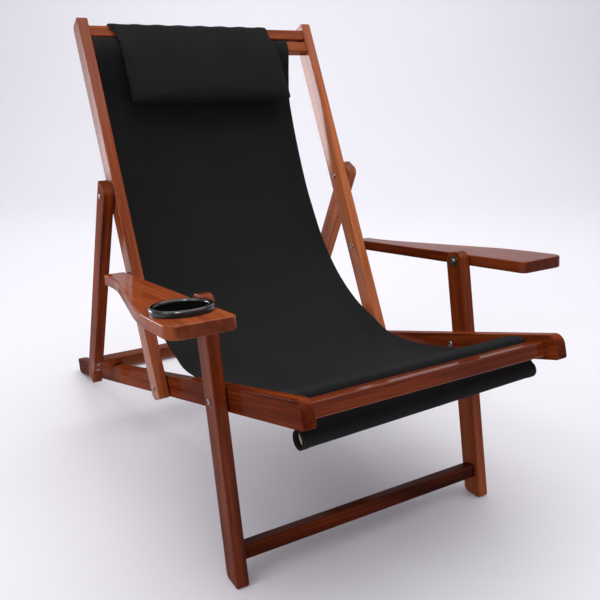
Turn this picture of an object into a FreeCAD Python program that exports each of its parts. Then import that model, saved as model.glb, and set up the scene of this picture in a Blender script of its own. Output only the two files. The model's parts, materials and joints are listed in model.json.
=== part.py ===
"""A folding wooden beach chair with a fabric sling, a head pillow and one cup holder.

Millimetres. +Z is up, the chair faces -Y and +X is the sitter's left. The origin is on the floor, in the
middle of the chair's footprint. The chair is five folding frames: seat, back, legs, prop and two armrests.
Each board is drawn in its own frame, with Y along the board from its pivot and Z towards its upper side.
"""
import FreeCAD, Part
import os
import re
import Sketcher

os.makedirs("parts", exist_ok=True)
doc = FreeCAD.newDocument("beach_chair")
Vector = FreeCAD.Vector
Rotation = FreeCAD.Rotation

# ---------------------------------------------------------------- driving dimensions

DIMENSIONS = {
    # stock
    "wood_thickness": 22,
    "wood_depth": 42,
    "edge_round": 2,
    "bar_round": 3,
    "layer_gap": 2,
    "rail_inside": 230,
    # pivots and slopes, in degrees from level
    "leg_pivot_y": -380.4,
    "leg_pivot_z": 305.5,
    "rail_slope": 16,
    "back_pivot_along": 288,
    "back_slope": 63.8,
    "leg_slope": 79.1,
    "prop_slope": 63.9,
    "front_screw_up": 158,
    "rear_screw_up": 221.5,
    "prop_pivot_up": 394,
    # rails
    "rail_front": 260,
    "rail_rear": 1052,
    "rail_nose_round": 18,
    "small_round": 5,
    "foot_round": 6,
    "notch_pitch": 65,
    "notch_count": 4,
    "notch_clearance": 0.3,
    # uprights
    "back_tail": 24,
    "back_reach": 768,
    "back_top_round": 14,
    "back_tail_round": 18,
    # legs
    "leg_reach": 176,
    "leg_top_round": 16.5,
    "leg_heel_round": 10,
    "stretcher_side": 25,
    "stretcher_down": 260,
    # prop
    "prop_tail": 25,
    "prop_reach": 525,
    "prop_head_round": 16,
    "prop_foot_round": 14,
    "crossbar_top": 453,
    "crossbar_height": 35,
    "crossbar_thickness": 20,
    "crossbar_screw_spread": 17,
    # bars between the rails
    "front_bar_middle": 220,
    "front_bar_deep": 36,
    "front_bar_tall": 24,
    "front_bar_rise": -2,
    "sling_bar_middle": 170,
    "sling_bar_deep": 40,
    "sling_bar_tall": 22,
    "sling_bar_rise": 5,
    "rear_bar_along": 1015,
    "rear_bar_deep": 30,
    "rear_bar_tall": 22,
    "rear_bar_rise": -3,
    # bars between the uprights
    "upper_bar_along": 740.5,
    "lower_bar_along": 710.25,
    "upper_bar_tall": 24,
    "lower_bar_tall": 24.5,
    "top_bar_deep": 22,
    "top_bar_rise": 6,
    # round tenons and mortises
    "tenon_radius": 7,
    "tenon_length": 12,
    "mortise_radius": 7.1,
    "mortise_depth": 12.5,
    # dowels in the sling's hems
    "front_dowel_radius": 12.5,
    "front_dowel_left": -216,
    "front_dowel_right": 232,
    "front_dowel_tilt": 1.4,
    "front_dowel_along": -188,
    "front_dowel_rise": -43.5,
    "top_dowel_radius": 10,
    "top_dowel_left": -245,
    "top_dowel_right": 198,
    "top_dowel_along": 725.3,
    "top_dowel_rise": -19.5,
    # armrests
    "armrest_thickness": 21,
    "armrest_rear": 28,
    "armrest_front": 503,
    "armrest_wide": 104,
    "armrest_narrow": 42,
    "armrest_wide_from": 366,
    "armrest_narrow_to": 54,
    "armrest_waist_round": 550,
    "armrest_outer_round": 24,
    "armrest_inner_round": 12,
    "armrest_rear_round": 6,
    "armrest_edge_round": 3,
    # cup holder
    "cup_forward": 418,
    "cup_across": 50.5,
    "cup_well_radius": 46,
    "cup_wall_radius": 45.8,
    "cup_depth": 17.8,
    "cup_well_depth": 18,
    "cup_mouth_radius": 39.5,
    "cup_floor": 2,
    "cup_rim_radius": 48.5,
    "cup_rim_height": 10.5,
    "cup_lip_round": 4.2,
    # pivot bolts, cap nuts, screws, inserts and washers
    "bolt_radius": 3,
    "turning_hole_radius": 3.1,
    "head_radius": 5.5,
    "head_height": 2.6,
    "head_dome": 2,
    "socket_radius": 2.2,
    "socket_depth": 1.6,
    "bolt_length": 44,
    "nut_length": 21.5,
    "sleeve_radius": 4.5,
    "sleeve_bore": 3.05,
    "sleeve_hole_radius": 4.6,
    "insert_length": 20,
    "screw_length": 42,
    "washer_radius": 9,
    "washer_thickness": 1.8,
    "cover_washer_radius": 10,
    "cover_washer_thickness": 1.5,
    "front_screw_slot": 8.3,
    "small_screw_radius": 2,
    "small_screw_hole": 2.1,
    "small_screw_length": 30,
    "small_head_radius": 4,
    "small_head_height": 1.6,
    "small_head_dome": 1.2,
    "face_gap": 0.1,
    # cloth
    "cloth_thickness": 3,
    "seat_sling_half": 218,
    "back_sling_left": -226,
    "back_sling_right": 202,
    "top_hem_left": -249,
    "hem_thickness": 2.6,
    "hem_clearance": 0.3,
    "hem_left": -222,
    "hem_right": 238,
    "pillow_left": -202,
    "pillow_right": 172,
}

sheet = doc.addObject("Spreadsheet::Sheet", "chair")
for row, (alias, number) in enumerate(DIMENSIONS.items(), 1):
    sheet.set(f"A{row}", alias)
    sheet.set(f"B{row}", str(number))
    sheet.setAlias(f"B{row}", alias)
doc.recompute()


def in_sheet(formula):
    """The formula with each of the sheet's names pointing at the sheet."""
    return re.sub(r"\b[a-z]+(?:_[a-z]+)+\b", lambda word: f"chair.{word.group(0)}", str(formula))


def number_of(formula):
    """The value that a formula has now."""
    found = sheet.evalExpression(in_sheet(formula))
    return float(getattr(found, "Value", found))


def bind(thing, name, formula):
    """Let the sheet drive one property."""
    thing.setExpression(name, in_sheet(formula))


# ---------------------------------------------------------------- frames of the folding chair

class Frame:
    """A board's own frame: a pivot in the chair's YZ plane and a slope, rising or falling to the rear."""

    def __init__(self, pivot, slope, rising):
        self.pivot = pivot
        self.slope = slope
        self.rising = rising

    def at(self, along, over=0):
        """The Y and Z formulas of a point, from its distances along the board and over its middle line."""
        sign = "+" if self.rising else "-"
        other = "-" if self.rising else "+"
        y = f"({self.pivot[0]} + ({along}) * cos({self.slope}) {other} ({over}) * sin({self.slope}))"
        z = f"({self.pivot[1]} {sign} ({along}) * sin({self.slope}) + ({over}) * cos({self.slope}))"
        return y, z

    def place(self, thing, x, point=None):
        """Put a body in this frame, at x across the chair."""
        y, z = point or self.pivot
        thing.Placement = FreeCAD.Placement(Vector(), Rotation(Vector(1 if self.rising else -1, 0, 0), 10))
        bind(thing, "Placement.Base.x", x)
        bind(thing, "Placement.Base.y", y)
        bind(thing, "Placement.Base.z", z)
        bind(thing, "Placement.Rotation.Angle", self.slope)

    def point(self, x, along, over=0):
        """A point of this frame as numbers, in the chair's frame."""
        y, z = self.at(along, over)
        return Vector(x, number_of(y), number_of(z))


RAIL = Frame(("leg_pivot_y", "leg_pivot_z"), "(rail_slope * 1 deg)", False)
LEG = Frame(RAIL.pivot, "(leg_slope * 1 deg)", True)
BACK = Frame(RAIL.at("back_pivot_along"), "(back_slope * 1 deg)", True)
PROP = Frame(BACK.at("prop_pivot_up"), "(prop_slope * 1 deg)", False)
REAR_SCREW = BACK.at("rear_screw_up")
FRONT_SCREW = LEG.at("front_screw_up")
ARM_RISE = f"({FRONT_SCREW[1]} - {REAR_SCREW[1]})"
ARM_RUN = f"({REAR_SCREW[0]} - {FRONT_SCREW[0]})"
ARM = Frame(REAR_SCREW, f"atan({ARM_RISE} / {ARM_RUN})", False)
SCREW_SPAN = f"sqrt({ARM_RISE} ^ 2 + {ARM_RUN} ^ 2)"

# Boards lie in layers across the chair: rails inside, then uprights and legs, then the prop and armrests.
RAIL_INSIDE = "rail_inside"
BACK_INSIDE = "(rail_inside + wood_thickness + layer_gap)"
BACK_OUTSIDE = "(rail_inside + 2 * wood_thickness + layer_gap)"
PROP_INSIDE = "(rail_inside + 2 * wood_thickness + 2 * layer_gap)"
PROP_OUTSIDE = "(rail_inside + 3 * wood_thickness + 2 * layer_gap)"
HALF_DEPTH = "(wood_depth / 2)"
SIDES = {"left": -1, "right": 1}


def inner_edge(side, inside):
    """Where a board's own X starts, when its inner face is at this distance from the chair's middle."""
    return inside if side > 0 else f"(-{inside} - wood_thickness)"


def inner_face(side):
    """The inner face, in the board's own X."""
    return "0" if side > 0 else "wood_thickness"


# ---------------------------------------------------------------- solid helpers

def new_body(name):
    body = doc.addObject("PartDesign::Body", name)
    body.Label = name
    return body


def new_sketch(body, name, role="YZ_Plane", offset=None):
    """A sketch on one of the body's own planes, moved along the plane's normal by offset."""
    sketch = body.newObject("Sketcher::SketchObject", name)
    sketch.AttachmentSupport = (next(f for f in body.Origin.OriginFeatures if f.Role == role), "")
    sketch.MapMode = "FlatFace"
    if offset:
        bind(sketch, "AttachmentOffset.Base.z", offset)
    return sketch


def draw_outline(sketch, corners):
    """Straight lines through the corners, whose positions the sheet drives."""
    first = sketch.GeometryCount
    spots = [Vector(number_of(across), number_of(up), 0) for across, up in corners]
    for index, spot in enumerate(spots):
        sketch.addGeometry(Part.LineSegment(spot, spots[(index + 1) % len(spots)]))
    for index, corner in enumerate(corners):
        line = first + index
        following = first + (index + 1) % len(corners)
        sketch.addConstraint(Sketcher.Constraint("Coincident", line, 2, following, 1))
        for kind, formula in zip(("DistanceX", "DistanceY"), corner):
            datum = sketch.addConstraint(Sketcher.Constraint(kind, -1, 1, line, 1, number_of(formula)))
            bind(sketch, f"Constraints[{datum}]", formula)


def draw_circle(sketch, across, up, radius):
    centre = Vector(number_of(across), number_of(up), 0)
    ring = sketch.addGeometry(Part.Circle(centre, Vector(0, 0, 1), number_of(radius)))
    for kind, formula in (("DistanceX", across), ("DistanceY", up)):
        datum = sketch.addConstraint(Sketcher.Constraint(kind, -1, 1, ring, 3, number_of(formula)))
        bind(sketch, f"Constraints[{datum}]", formula)
    datum = sketch.addConstraint(Sketcher.Constraint("Radius", ring, number_of(radius)))
    bind(sketch, f"Constraints[{datum}]", radius)


def pad(body, sketch, name, length, middle=False):
    feature = body.newObject("PartDesign::Pad", name)
    feature.Profile = sketch
    feature.Midplane = middle
    bind(feature, "Length", length)
    return feature


def pocket(body, sketch, name, depth=None):
    """Cut both ways from the sketch: right through, or to a depth on each side."""
    feature = body.newObject("PartDesign::Pocket", name)
    feature.Profile = sketch
    feature.Midplane = True
    if depth:
        bind(feature, "Length", f"2 * ({depth})")
    else:
        feature.Type = "ThroughAll"
    return feature


def edges_along(shape, axis, corners):
    """The names of the edges that run along an axis through the corners, given by their other two."""
    others = [index for index in range(3) if index != axis]
    names = []
    for number, edge in enumerate(shape.Edges, 1):
        ends = [vertex.Point for vertex in edge.Vertexes]
        if len(ends) != 2 or abs(ends[0][axis] - ends[1][axis]) < 1:
            continue
        for corner in corners:
            near = [abs(end[other] - place) < 0.02 for end in ends for other, place in zip(others, corner)]
            if all(near):
                names.append(f"Edge{number}")
    return names


def edges_in_planes(shape, axis, places):
    """The names of the edges that lie wholly at one of these places along an axis."""
    names = []
    for number, edge in enumerate(shape.Edges, 1):
        box = edge.BoundBox
        low, high = [(box.XMin, box.XMax), (box.YMin, box.YMax), (box.ZMin, box.ZMax)][axis]
        if any(abs(low - place) < 0.01 and abs(high - place) < 0.01 for place in places):
            names.append(f"Edge{number}")
    return names


def round_edges(body, base, name, edges, radius):
    feature = body.newObject("PartDesign::Fillet", name)
    feature.Base = (base, edges)
    bind(feature, "Radius", radius)
    return feature


def round_corners(body, base, name, axis, rounds):
    """Round each listed corner of an outline by its own radius, one fillet for each radius."""
    for index, (radius, corners) in enumerate(rounds.items()):
        doc.recompute()
        spots = [[number_of(formula) for formula in corner] for corner in corners]
        edges = edges_along(base.Shape, axis, spots)
        if len(edges) != len(corners):
            raise RuntimeError(f"{body.Name}: {len(edges)} edges for {len(corners)} corners of {radius}")
        base = round_edges(body, base, f"{name}_{index}", edges, radius)
    return base


def board(name, frame, side, inside, corners, rounds):
    """A flat board across the chair's X: its outline, its rounded corners and its eased long edges."""
    body = new_body(name)
    outline = new_sketch(body, f"{name}_outline")
    draw_outline(outline, corners)
    blank = pad(body, outline, f"{name}_blank", "wood_thickness")
    shaped = round_corners(body, blank, f"{name}_corner", 0, rounds)
    doc.recompute()
    edges = edges_in_planes(shaped.Shape, 0, (0, number_of("wood_thickness")))
    round_edges(body, shaped, f"{name}_edges", edges, "edge_round")
    frame.place(body, inner_edge(side, inside))
    return body


def bore(body, name, along, radius, over="0"):
    """A round hole right through a board."""
    circle = new_sketch(body, f"{name}_circle")
    draw_circle(circle, along, over, radius)
    return pocket(body, circle, name)


def mortise(body, name, side, along, over):
    """A blind round hole in a board's inner face, for a bar's tenon."""
    circle = new_sketch(body, f"{name}_circle", offset=inner_face(side))
    draw_circle(circle, along, over, "mortise_radius")
    return pocket(body, circle, name, "mortise_depth")


def bar(name, frame, half, along, over, deep, tall, tenons=True):
    """A bar across the chair, from one board's inner face to the other's, with a tenon at each end."""
    body = new_body(name)
    ends = [(f"({along}) - ({deep}) / 2", f"({over}) - ({tall}) / 2"),
            (f"({along}) + ({deep}) / 2", f"({over}) - ({tall}) / 2"),
            (f"({along}) + ({deep}) / 2", f"({over}) + ({tall}) / 2"),
            (f"({along}) - ({deep}) / 2", f"({over}) + ({tall}) / 2")]
    section = new_sketch(body, f"{name}_section")
    draw_outline(section, ends)
    blank = pad(body, section, f"{name}_blank", f"2 * ({half})", middle=True)
    round_corners(body, blank, f"{name}_corner", 0, {"bar_round": ends})
    if tenons:
        circle = new_sketch(body, f"{name}_tenon_circle")
        draw_circle(circle, along, over, "tenon_radius")
        pad(body, circle, f"{name}_tenons", f"2 * (({half}) + tenon_length)", middle=True)
    frame.place(body, "0")
    return body


def rod(name, point, radius, left, right, tilt="0"):
    """A round dowel from its left end to its right one. A tilt, in degrees, lifts the right end."""
    rod_solid = doc.addObject("Part::Cylinder", name)
    rod_solid.Label = name
    bind(rod_solid, "Radius", radius)
    bind(rod_solid, "Height", f"{right} - ({left})")
    level = Rotation(Vector(0, 1, 0), 90 - number_of(tilt))
    rod_solid.Placement = FreeCAD.Placement(Vector(), level)
    bind(rod_solid, "Placement.Base.x", f"{left} * cos({tilt} * 1 deg)")
    bind(rod_solid, "Placement.Base.y", point[0])
    bind(rod_solid, "Placement.Base.z", f"{point[1]} + {left} * sin({tilt} * 1 deg)")
    return rod_solid


# ---------------------------------------------------------------- seat frame

RAIL_TOP_REAR = ("rail_rear", HALF_DEPTH)
RAIL_TOP_FRONT = ("-rail_front", HALF_DEPTH)
RAIL_BOTTOM_FRONT = ("-rail_front", f"-{HALF_DEPTH}")
FOOT_FRONT = (f"((leg_pivot_z - {HALF_DEPTH} * cos(rail_slope * 1 deg)) / sin(rail_slope * 1 deg))",
              f"-{HALF_DEPTH}")
FOOT_REAR = ("rail_rear",
             "((rail_rear * sin(rail_slope * 1 deg) - leg_pivot_z) / cos(rail_slope * 1 deg))")

# The crossbar's lower front corner, worked out in the prop's frame and carried into the rail's frame.
PROP_TO_RAIL = "((prop_slope - rail_slope) * 1 deg)"
PROP_HEAD_Y = "(back_pivot_along + prop_pivot_up * cos((back_slope + rail_slope) * 1 deg))"
PROP_HEAD_Z = "(prop_pivot_up * sin((back_slope + rail_slope) * 1 deg))"
CORNER_DOWN = "(crossbar_top + crossbar_height + notch_clearance)"
CORNER_OUT = f"({HALF_DEPTH} + notch_clearance)"
NOTCH_Y = f"({PROP_HEAD_Y} + {CORNER_DOWN} * cos({PROP_TO_RAIL}) - {CORNER_OUT} * sin({PROP_TO_RAIL}))"
NOTCH_Z = f"({PROP_HEAD_Z} - {CORNER_DOWN} * sin({PROP_TO_RAIL}) - {CORNER_OUT} * cos({PROP_TO_RAIL}))"
NOTCH_RISE = f"({HALF_DEPTH} + edge_round - {NOTCH_Z})"
NOTCH = [(NOTCH_Y, NOTCH_Z),
         (f"{NOTCH_Y} + {NOTCH_RISE} / tan(90 deg - {PROP_TO_RAIL})", f"{HALF_DEPTH} + edge_round"),
         (f"{NOTCH_Y} - {NOTCH_RISE} * tan(90 deg - {PROP_TO_RAIL})", f"{HALF_DEPTH} + edge_round")]


def rail(name, side):
    """A seat rail that slopes from the chair's nose to the floor, with four notches for the prop."""
    corners = [RAIL_BOTTOM_FRONT, FOOT_FRONT, FOOT_REAR, RAIL_TOP_REAR, RAIL_TOP_FRONT]
    rounds = {"rail_nose_round": [RAIL_TOP_FRONT], "small_round": [RAIL_BOTTOM_FRONT, RAIL_TOP_REAR],
              "foot_round": [FOOT_REAR], "leg_heel_round": [FOOT_FRONT]}
    body = board(name, RAIL, side, RAIL_INSIDE, corners, rounds)
    bore(body, f"{name}_leg_pivot", "0", "sleeve_hole_radius")
    bore(body, f"{name}_back_pivot", "back_pivot_along", "sleeve_hole_radius")
    mortise(body, f"{name}_front_bar_mortise", side, "-front_bar_middle", "front_bar_rise")
    mortise(body, f"{name}_sling_bar_mortise", side, "-sling_bar_middle", "sling_bar_rise")
    mortise(body, f"{name}_rear_bar_mortise", side, "rear_bar_along", "rear_bar_rise")
    wedge = new_sketch(body, f"{name}_notch_outline")
    draw_outline(wedge, NOTCH)
    notch = pocket(body, wedge, f"{name}_notch")
    row = body.newObject("PartDesign::LinearPattern", f"{name}_notches")
    row.Originals = [notch]
    row.Direction = (wedge, ["H_Axis"])
    bind(row, "Length", "notch_pitch * (notch_count - 1)")
    bind(row, "Occurrences", "notch_count")
    body.Tip = row
    return body


for side_name, side in SIDES.items():
    rail(f"{side_name}_rail", side)

bar("front_bar", RAIL, RAIL_INSIDE, "-front_bar_middle", "front_bar_rise", "front_bar_deep", "front_bar_tall")
bar("sling_bar", RAIL, RAIL_INSIDE, "-sling_bar_middle", "sling_bar_rise", "sling_bar_deep", "sling_bar_tall")
bar("rear_stretcher", RAIL, RAIL_INSIDE, "rear_bar_along", "rear_bar_rise", "rear_bar_deep", "rear_bar_tall")
# The front dowel hangs in its hem, a little lower on the left.
rod("front_dowel", RAIL.at("front_dowel_along", "front_dowel_rise"), "front_dowel_radius", "front_dowel_left",
    "front_dowel_right", "front_dowel_tilt")

# ---------------------------------------------------------------- back frame

BACK_TOP_FRONT = ("back_reach", HALF_DEPTH)
BACK_TOP_REAR = ("back_reach", f"-{HALF_DEPTH}")
BACK_TAIL_REAR = ("-back_tail", f"-{HALF_DEPTH}")
BACK_TAIL_FRONT = ("-back_tail", HALF_DEPTH)


def upright(name, side):
    corners = [BACK_TAIL_REAR, BACK_TOP_REAR, BACK_TOP_FRONT, BACK_TAIL_FRONT]
    rounds = {"back_top_round": [BACK_TOP_REAR], "back_tail_round": [BACK_TAIL_REAR],
              "small_round": [BACK_TOP_FRONT, BACK_TAIL_FRONT]}
    body = board(name, BACK, side, BACK_INSIDE, corners, rounds)
    bore(body, f"{name}_back_pivot", "0", "turning_hole_radius")
    bore(body, f"{name}_armrest_screw", "rear_screw_up", "turning_hole_radius")
    bore(body, f"{name}_prop_pivot", "prop_pivot_up", "sleeve_hole_radius")
    mortise(body, f"{name}_upper_mortise", side, "upper_bar_along", "top_bar_rise")
    mortise(body, f"{name}_lower_mortise", side, "lower_bar_along", "top_bar_rise")
    return body


for side_name, side in SIDES.items():
    upright(f"{side_name}_upright", side)

bar("upper_top_bar", BACK, BACK_INSIDE, "upper_bar_along", "top_bar_rise", "upper_bar_tall", "top_bar_deep")
bar("lower_top_bar", BACK, BACK_INSIDE, "lower_bar_along", "top_bar_rise", "lower_bar_tall", "top_bar_deep")
rod("top_dowel", BACK.at("top_dowel_along", "top_dowel_rise"), "top_dowel_radius", "top_dowel_left",
    "top_dowel_right")

# ---------------------------------------------------------------- legs

LEG_TOP_FRONT = ("leg_reach", HALF_DEPTH)
LEG_TOP_REAR = ("leg_reach", f"-{HALF_DEPTH}")
LEG_TOE = (f"-(leg_pivot_z + {HALF_DEPTH} * cos(leg_slope * 1 deg)) / sin(leg_slope * 1 deg)", HALF_DEPTH)
LEG_HEEL = (f"-(leg_pivot_z - {HALF_DEPTH} * cos(leg_slope * 1 deg)) / sin(leg_slope * 1 deg)",
            f"-{HALF_DEPTH}")


def leg(name, side):
    """A front leg, cut level at the floor, that carries the armrest at its rounded top."""
    rounds = {"leg_top_round": [LEG_TOP_FRONT, LEG_TOP_REAR], "small_round": [LEG_TOE],
              "leg_heel_round": [LEG_HEEL]}
    body = board(name, LEG, side, BACK_INSIDE, [LEG_TOE, LEG_HEEL, LEG_TOP_REAR, LEG_TOP_FRONT], rounds)
    bore(body, f"{name}_leg_pivot", "0", "turning_hole_radius")
    bore(body, f"{name}_armrest_screw", "front_screw_up", "front_screw_slot")
    mortise(body, f"{name}_stretcher_mortise", side, "-stretcher_down", "0")
    return body


for side_name, side in SIDES.items():
    leg(f"{side_name}_leg", side)

bar("leg_stretcher", LEG, BACK_INSIDE, "-stretcher_down", "0", "stretcher_side", "stretcher_side")

# ---------------------------------------------------------------- prop

PROP_HEAD_FRONT = ("-prop_tail", f"-{HALF_DEPTH}")
PROP_HEAD_REAR = ("-prop_tail", HALF_DEPTH)
PROP_FOOT_FRONT = ("prop_reach", f"-{HALF_DEPTH}")
PROP_FOOT_REAR = ("prop_reach", HALF_DEPTH)
LAP_FLOOR = f"(crossbar_thickness - {HALF_DEPTH})"
CROSSBAR_MIDDLE = "(crossbar_top + crossbar_height / 2)"
CROSSBAR_OVER = f"(crossbar_thickness / 2 - {HALF_DEPTH})"
SCREW_SPOTS = [f"({CROSSBAR_MIDDLE} {sign} crossbar_screw_spread / 2)" for sign in "-+"]


def prop(name, side):
    """A prop that hangs from the upright, with a lap in its front edge for the crossbar."""
    rounds = {"prop_head_round": [PROP_HEAD_FRONT], "prop_foot_round": [PROP_FOOT_REAR],
              "small_round": [PROP_HEAD_REAR, PROP_FOOT_FRONT]}
    body = board(name, PROP, side, PROP_INSIDE,
                 [PROP_HEAD_FRONT, PROP_FOOT_FRONT, PROP_FOOT_REAR, PROP_HEAD_REAR], rounds)
    bore(body, f"{name}_prop_pivot", "0", "turning_hole_radius")
    lap_outline = new_sketch(body, f"{name}_lap_outline")
    draw_outline(lap_outline, [("crossbar_top", f"-{HALF_DEPTH} - edge_round"),
                               ("crossbar_top + crossbar_height", f"-{HALF_DEPTH} - edge_round"),
                               ("crossbar_top + crossbar_height", LAP_FLOOR),
                               ("crossbar_top", LAP_FLOOR)])
    pocket(body, lap_outline, f"{name}_lap")
    screw_circles = new_sketch(body, f"{name}_screw_circles", "XY_Plane", LAP_FLOOR)
    for spot in SCREW_SPOTS:
        draw_circle(screw_circles, "wood_thickness / 2", spot, "small_screw_hole")
    pocket(body, screw_circles, f"{name}_screw_holes", "small_screw_length - crossbar_thickness + edge_round")
    return body


for side_name, side in SIDES.items():
    prop(f"{side_name}_prop", side)

crossbar = bar("prop_crossbar", PROP, PROP_OUTSIDE, CROSSBAR_MIDDLE, CROSSBAR_OVER, "crossbar_height",
               "crossbar_thickness", tenons=False)
crossbar_circles = new_sketch(crossbar, "prop_crossbar_screw_circles", "XY_Plane")
for side in SIDES.values():
    for spot in SCREW_SPOTS:
        screw_x = f"{side} * ({PROP_INSIDE} + wood_thickness / 2)"
        draw_circle(crossbar_circles, screw_x, spot, "small_screw_hole")
pocket(crossbar, crossbar_circles, "prop_crossbar_screw_holes")

# ---------------------------------------------------------------- armrests


def armrest(name, side):
    """An armrest that widens to the front, centred on the line between its two screws."""
    body = new_body(name)
    corners = {
        "inner_rear": ("0", "armrest_rear"),
        "inner_front": ("0", "-armrest_front"),
        "outer_front": (f"{side} * armrest_wide", "-armrest_front"),
        "outer_wide": (f"{side} * armrest_wide", "-armrest_wide_from"),
        "outer_narrow": (f"{side} * armrest_narrow", "-armrest_narrow_to"),
        "outer_rear": (f"{side} * armrest_narrow", "armrest_rear"),
    }
    rounds = {
        "armrest_rear_round": [corners["inner_rear"], corners["outer_rear"]],
        "armrest_inner_round": [corners["inner_front"]],
        "armrest_outer_round": [corners["outer_front"]],
        "armrest_waist_round": [corners["outer_wide"], corners["outer_narrow"]],
    }
    outline = new_sketch(body, f"{name}_outline", "XY_Plane")
    draw_outline(outline, list(corners.values()))
    blank = pad(body, outline, f"{name}_blank", "armrest_thickness", middle=True)
    shaped = round_corners(body, blank, f"{name}_corner", 2, rounds)
    doc.recompute()
    half = number_of("armrest_thickness") / 2
    edges = edges_in_planes(shaped.Shape, 2, (-half, half))
    round_edges(body, shaped, f"{name}_edges", edges, "armrest_edge_round")
    insert_circles = new_sketch(body, f"{name}_insert_circles")
    draw_circle(insert_circles, "0", "0", "sleeve_hole_radius")
    draw_circle(insert_circles, f"-{SCREW_SPAN}", "0", "sleeve_hole_radius")
    pocket(body, insert_circles, f"{name}_insert_holes", "insert_length + 5 * face_gap")
    ARM.place(body, f"{side} * {PROP_INSIDE}")
    return body


for side_name, side in SIDES.items():
    armrest(f"{side_name}_armrest", side)

CUP_SIDE = SIDES["left"]
cup_armrest = doc.getObject("left_armrest")
well_circle = new_sketch(cup_armrest, "left_armrest_well_circle", "XY_Plane", "armrest_thickness / 2")
draw_circle(well_circle, f"{CUP_SIDE} * cup_across", "-cup_forward", "cup_well_radius")
pocket(cup_armrest, well_circle, "left_armrest_well", "cup_well_depth")

cup = new_body("cup_holder")
cup_profile = new_sketch(cup, "cup_holder_profile", "XZ_Plane")
draw_outline(cup_profile, [("0", "-cup_depth"), ("cup_wall_radius", "-cup_depth"), ("cup_wall_radius", "0"),
                           ("cup_rim_radius", "0"), ("cup_rim_radius", "cup_rim_height"),
                           ("cup_mouth_radius", "cup_rim_height"),
                           ("cup_mouth_radius", "cup_floor - cup_depth"), ("0", "cup_floor - cup_depth")])
cup_turned = cup.newObject("PartDesign::Revolution", "cup_holder_turned")
cup_turned.Profile = cup_profile
cup_turned.ReferenceAxis = (cup_profile, ["V_Axis"])
cup_turned.Angle = 360
doc.recompute()
rim_edges = edges_in_planes(cup_turned.Shape, 2, [number_of("cup_rim_height")])
round_edges(cup, cup_turned, "cup_holder_lip", rim_edges, "cup_lip_round")
ARM.place(cup, f"{CUP_SIDE} * ({PROP_INSIDE} + cup_across)", ARM.at("-cup_forward", "armrest_thickness / 2"))

# ---------------------------------------------------------------- bolts, nuts, screws, inserts and washers


def turned(name, profile, dome=None, socket=False):
    """A turned piece of hardware whose axis is its own X, with its head on the +X side of its origin."""
    body = new_body(name)
    outline = new_sketch(body, f"{name}_outline", "XY_Plane")
    draw_outline(outline, profile)
    solid = body.newObject("PartDesign::Revolution", f"{name}_turned")
    solid.Profile = outline
    solid.ReferenceAxis = (outline, ["H_Axis"])
    solid.Angle = 360
    if dome:
        doc.recompute()
        top = number_of(dome[0])
        edges = [edge for edge in edges_in_planes(solid.Shape, 0, [top])
                 if solid.Shape.getElement(edge).BoundBox.YLength > 2 * number_of(dome[2])]
        solid = round_edges(body, solid, f"{name}_dome", edges, dome[1])
    if socket:
        hexagon = new_sketch(body, f"{name}_hexagon", offset="head_height")
        socket_corners = [(f"socket_radius * cos({60 * turn} deg)", f"socket_radius * sin({60 * turn} deg)")
                          for turn in range(6)]
        draw_outline(hexagon, socket_corners)
        pocket(body, hexagon, f"{name}_socket", "socket_depth")
    return body


def headed(head_radius, head_height, shank_radius, shank_length):
    """Half of a headed pin's section."""
    return [(f"-({shank_length})", "0"), (head_height, "0"), (head_height, head_radius), ("0", head_radius),
            ("0", shank_radius), (f"-({shank_length})", shank_radius)]


BOLT = headed("head_radius", "head_height", "bolt_radius", "bolt_length")
SCREW = headed("head_radius", "head_height", "bolt_radius", "screw_length")
CAP_NUT = [("-nut_length", "sleeve_bore"), ("0", "sleeve_bore"), ("0", "0"), ("head_height", "0"),
           ("head_height", "head_radius"), ("0", "head_radius"), ("0", "sleeve_radius"),
           ("-nut_length", "sleeve_radius")]
DOME = ("head_height", "head_dome", "head_radius - head_dome / 2")


def outward(side, facing_out):
    """The turn about Z that points a piece's own +X away from the chair's middle, or towards it."""
    return 0 if (side > 0) == facing_out else 180


def set_across(thing, side, distance, point, facing_out=True):
    """Put a turned piece on one side of the chair."""
    thing.Placement = FreeCAD.Placement(Vector(), Rotation(Vector(0, 0, 1), outward(side, facing_out)))
    bind(thing, "Placement.Base.x", f"{side} * ({distance})")
    bind(thing, "Placement.Base.y", point[0])
    bind(thing, "Placement.Base.z", point[1])


def group(name, pieces):
    """Identical fasteners as one sub-part."""
    together = doc.addObject("Part::Compound", name)
    together.Label = name
    together.Links = pieces
    return together


def pivot(name, point, nut_face, bolt_face):
    """A bolt and a cap nut on each side of the chair, through two boards."""
    bolts = []
    nuts = []
    for side_name, side in SIDES.items():
        bolt = turned(f"{name}_bolt_{side_name}", BOLT, DOME, socket=True)
        set_across(bolt, side, f"{bolt_face} + face_gap", point)
        bolts.append(bolt)
        nut = turned(f"{name}_nut_{side_name}", CAP_NUT, DOME, socket=True)
        set_across(nut, side, f"{nut_face} - face_gap", point, facing_out=False)
        nuts.append(nut)
    group(f"{name}_bolts", bolts)
    group(f"{name}_nuts", nuts)


def washer(name, side, face, point, radius, bore_radius, thickness):
    """A flat washer whose inner side is at this distance from the chair's middle."""
    ring = turned(name, [("0", bore_radius), (thickness, bore_radius), (thickness, radius), ("0", radius)])
    set_across(ring, side, face, point)
    return ring


def gap_washer(name, side, face, point):
    """A spacer in the gap outside a layer of boards."""
    middle = f"{face} + (layer_gap - washer_thickness) / 2"
    return washer(name, side, middle, point, "washer_radius", "turning_hole_radius", "washer_thickness")


pivot("leg_pivot", RAIL.pivot, RAIL_INSIDE, BACK_OUTSIDE)
pivot("back_pivot", BACK.pivot, RAIL_INSIDE, BACK_OUTSIDE)
pivot("prop_pivot", PROP.pivot, BACK_INSIDE, PROP_OUTSIDE)

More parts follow.
